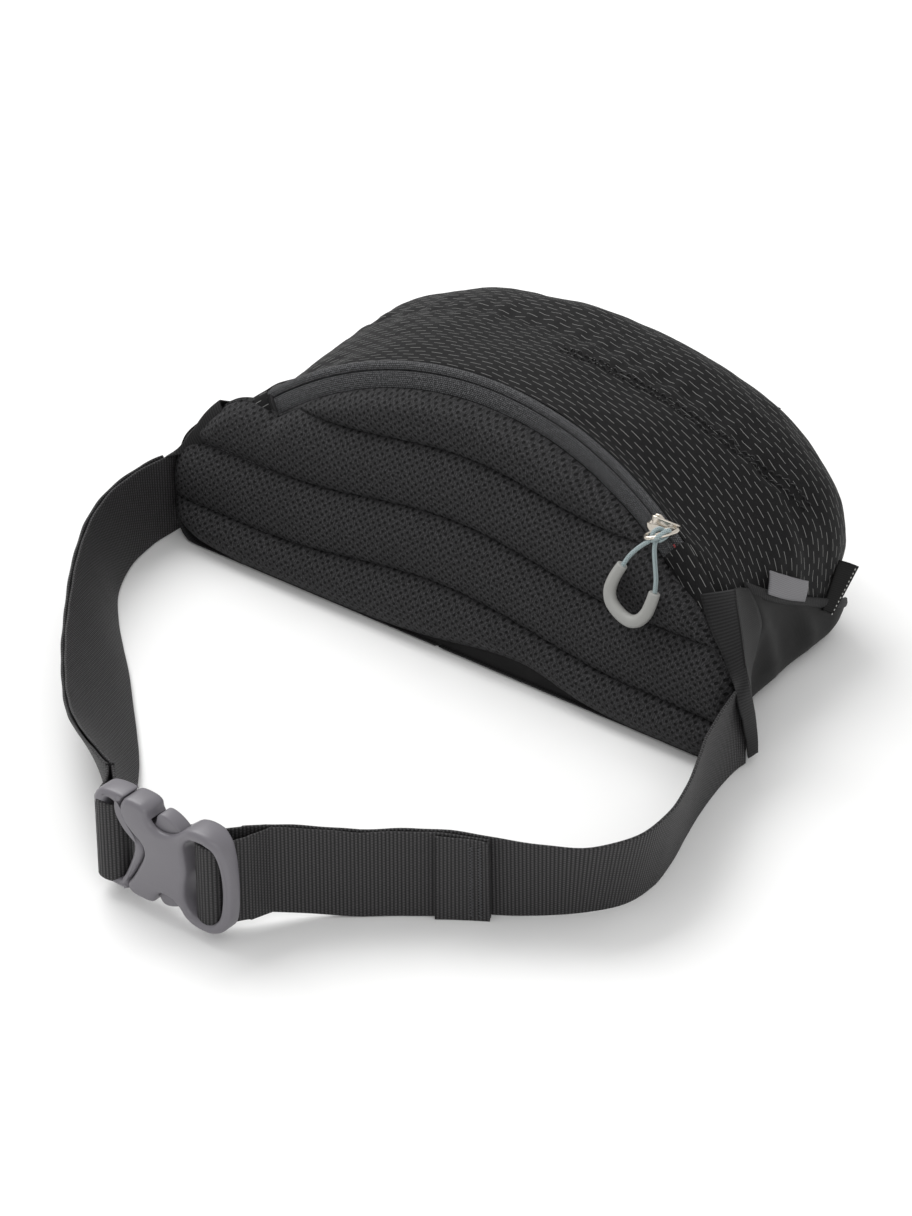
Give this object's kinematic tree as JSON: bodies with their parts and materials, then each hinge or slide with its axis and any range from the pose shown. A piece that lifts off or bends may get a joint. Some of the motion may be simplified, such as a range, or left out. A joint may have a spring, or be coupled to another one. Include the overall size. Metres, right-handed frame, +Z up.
{
  "type": "waist pack",
  "caption": "Arched hip bag with a ribbed mesh back pad, a curved top zip with cord pull, stretch side pockets and a webbing belt closed by a side-release buckle.",
  "frame": {"origin": "centre of the pack's flat base panel, on its underside", "axes": "+X along the back panel, to the right as the padded side is faced; +Y from the padded side to the front of the bag; +Z up. The belt loop lies towards -Y."},
  "size_m": [0.3299, 0.3557, 0.1135],
  "materials": {
    "shell_fabric": "near-black ripstop-like weave with short light grey dashes",
    "plain_fabric": "plain black stretch and lining fabric",
    "spacer_mesh": "charcoal perforated spacer mesh",
    "foam": "grey open-cell foam",
    "zip_tape": "slate grey woven zip tape",
    "zip_coil": "dark grey nylon coil",
    "webbing": "black ribbed nylon webbing",
    "moulded_plastic": "dark slate grey moulded acetal, fine matt grain",
    "slider_metal": "pale champagne plated metal",
    "pull_cord": "light blue-grey braided cord",
    "pull_grip": "light grey soft-touch rubber",
    "woven_label": "mid grey woven label, blank"
  },
  "bodies": {
    "pack": {"shell_body": "shell_fabric", "base_panel": "plain_fabric", "back_pad_cover": "spacer_mesh", "back_foam": "foam", "back_lining": "plain_fabric", "security_pocket": "plain_fabric", "zip_tape_lower": "zip_tape", "zip_tape_upper": "zip_tape", "zip_coil": "zip_coil", "zip_stop_left": "slider_metal", "zip_stop_right": "slider_metal", "zip_garage_left": "shell_fabric", "zip_garage_right": "shell_fabric", "side_pocket_left": "plain_fabric", "side_pocket_right": "plain_fabric", "pocket_hem_left": "plain_fabric", "pocket_hem_right": "plain_fabric", "wing_strip_left": "plain_fabric", "wing_strip_right": "plain_fabric", "front_tab_left": "plain_fabric", "front_tab_right": "plain_fabric", "side_label": "woven_label", "front_zip_tape": "zip_tape", "front_zip_coil": "zip_coil", "front_zip_end_left": "plain_fabric", "front_zip_end_right": "plain_fabric", "front_pocket_bag": "plain_fabric", "key_tape": "webbing", "key_hook": "moulded_plastic"},
    "main_slider": {"main_slider": "slider_metal", "main_slider_back": "slider_metal"},
    "pull_ring": {"pull_ring": "slider_metal"},
    "main_pull": {"pull_cord": "pull_cord", "pull_grip": "pull_grip"},
    "front_slider": {"front_slider": "slider_metal"},
    "front_pull": {"front_pull_cord": "pull_cord", "front_pull_grip": "pull_grip"},
    "belt": {"webbing_left_inner": "webbing", "webbing_left_outer": "webbing", "webbing_right": "webbing", "webbing_tail_fold": "webbing", "buckle_female": "moulded_plastic"},
    "buckle_male": {"buckle_male": "moulded_plastic", "webbing_male_loop": "webbing"},
    "arm_upper": {"buckle_arm_upper": "moulded_plastic"},
    "arm_lower": {"buckle_arm_lower": "moulded_plastic"}
  },
  "joints": [
    {"name": "main_zip", "type": "hinge", "parent": "pack", "child": "main_slider", "pos_m": [0, -0.07288, -0.0546], "axis": [0, -0.9578, 0.2874], "range_deg": [0, 68]},
    {"name": "pull_lift", "type": "hinge", "parent": "main_slider", "child": "pull_ring", "pos_m": [0.09328, -0.03736, 0.08188], "axis": [-0.8339, 0.1586, 0.5287], "range_deg": [0, 100]},
    {"name": "pull_hang", "type": "hinge", "parent": "pull_ring", "child": "main_pull", "pos_m": [0.09162, -0.04507, 0.08158], "axis": [0, -0.9578, 0.2874], "range_deg": [-68, 0]},
    {"name": "front_zip", "type": "slide", "parent": "pack", "child": "front_slider", "axis": [-1, 0, 0], "range_m": [0, 0.126]},
    {"name": "front_pull_lift", "type": "hinge", "parent": "front_slider", "child": "front_pull", "pos_m": [0.062, 0.0813, 0.074], "axis": [1, 0, 0], "range_deg": [0, 150]},
    {"name": "belt_swing", "type": "hinge", "parent": "pack", "child": "belt", "pos_m": [0, -0.05, 0.019], "axis": [-1, 0, 0], "range_deg": [0, 60]},
    {"name": "buckle_release", "type": "slide", "parent": "belt", "child": "buckle_male", "axis": [-1, 0, 0], "range_m": [0, 0.042], "deforming": ["webbing_left_inner", "webbing_left_outer", "buckle_arm_upper", "buckle_arm_lower"]},
    {"name": "latch_upper", "type": "hinge", "parent": "buckle_male", "child": "arm_upper", "pos_m": [0.0226, -0.266, 0.0382], "axis": [0, 1, 0], "range_deg": [0, 8], "stiffness_Nm_per_rad": 0.004},
    {"name": "latch_lower", "type": "hinge", "parent": "buckle_male", "child": "arm_lower", "pos_m": [0.0226, -0.266, 0.0118], "axis": [0, -1, 0], "range_deg": [0, 8], "stiffness_Nm_per_rad": 0.004}
  ],
  "couplings": [
    {"joint": "pull_hang", "follows": "main_zip", "ratio": -1}
  ]
}
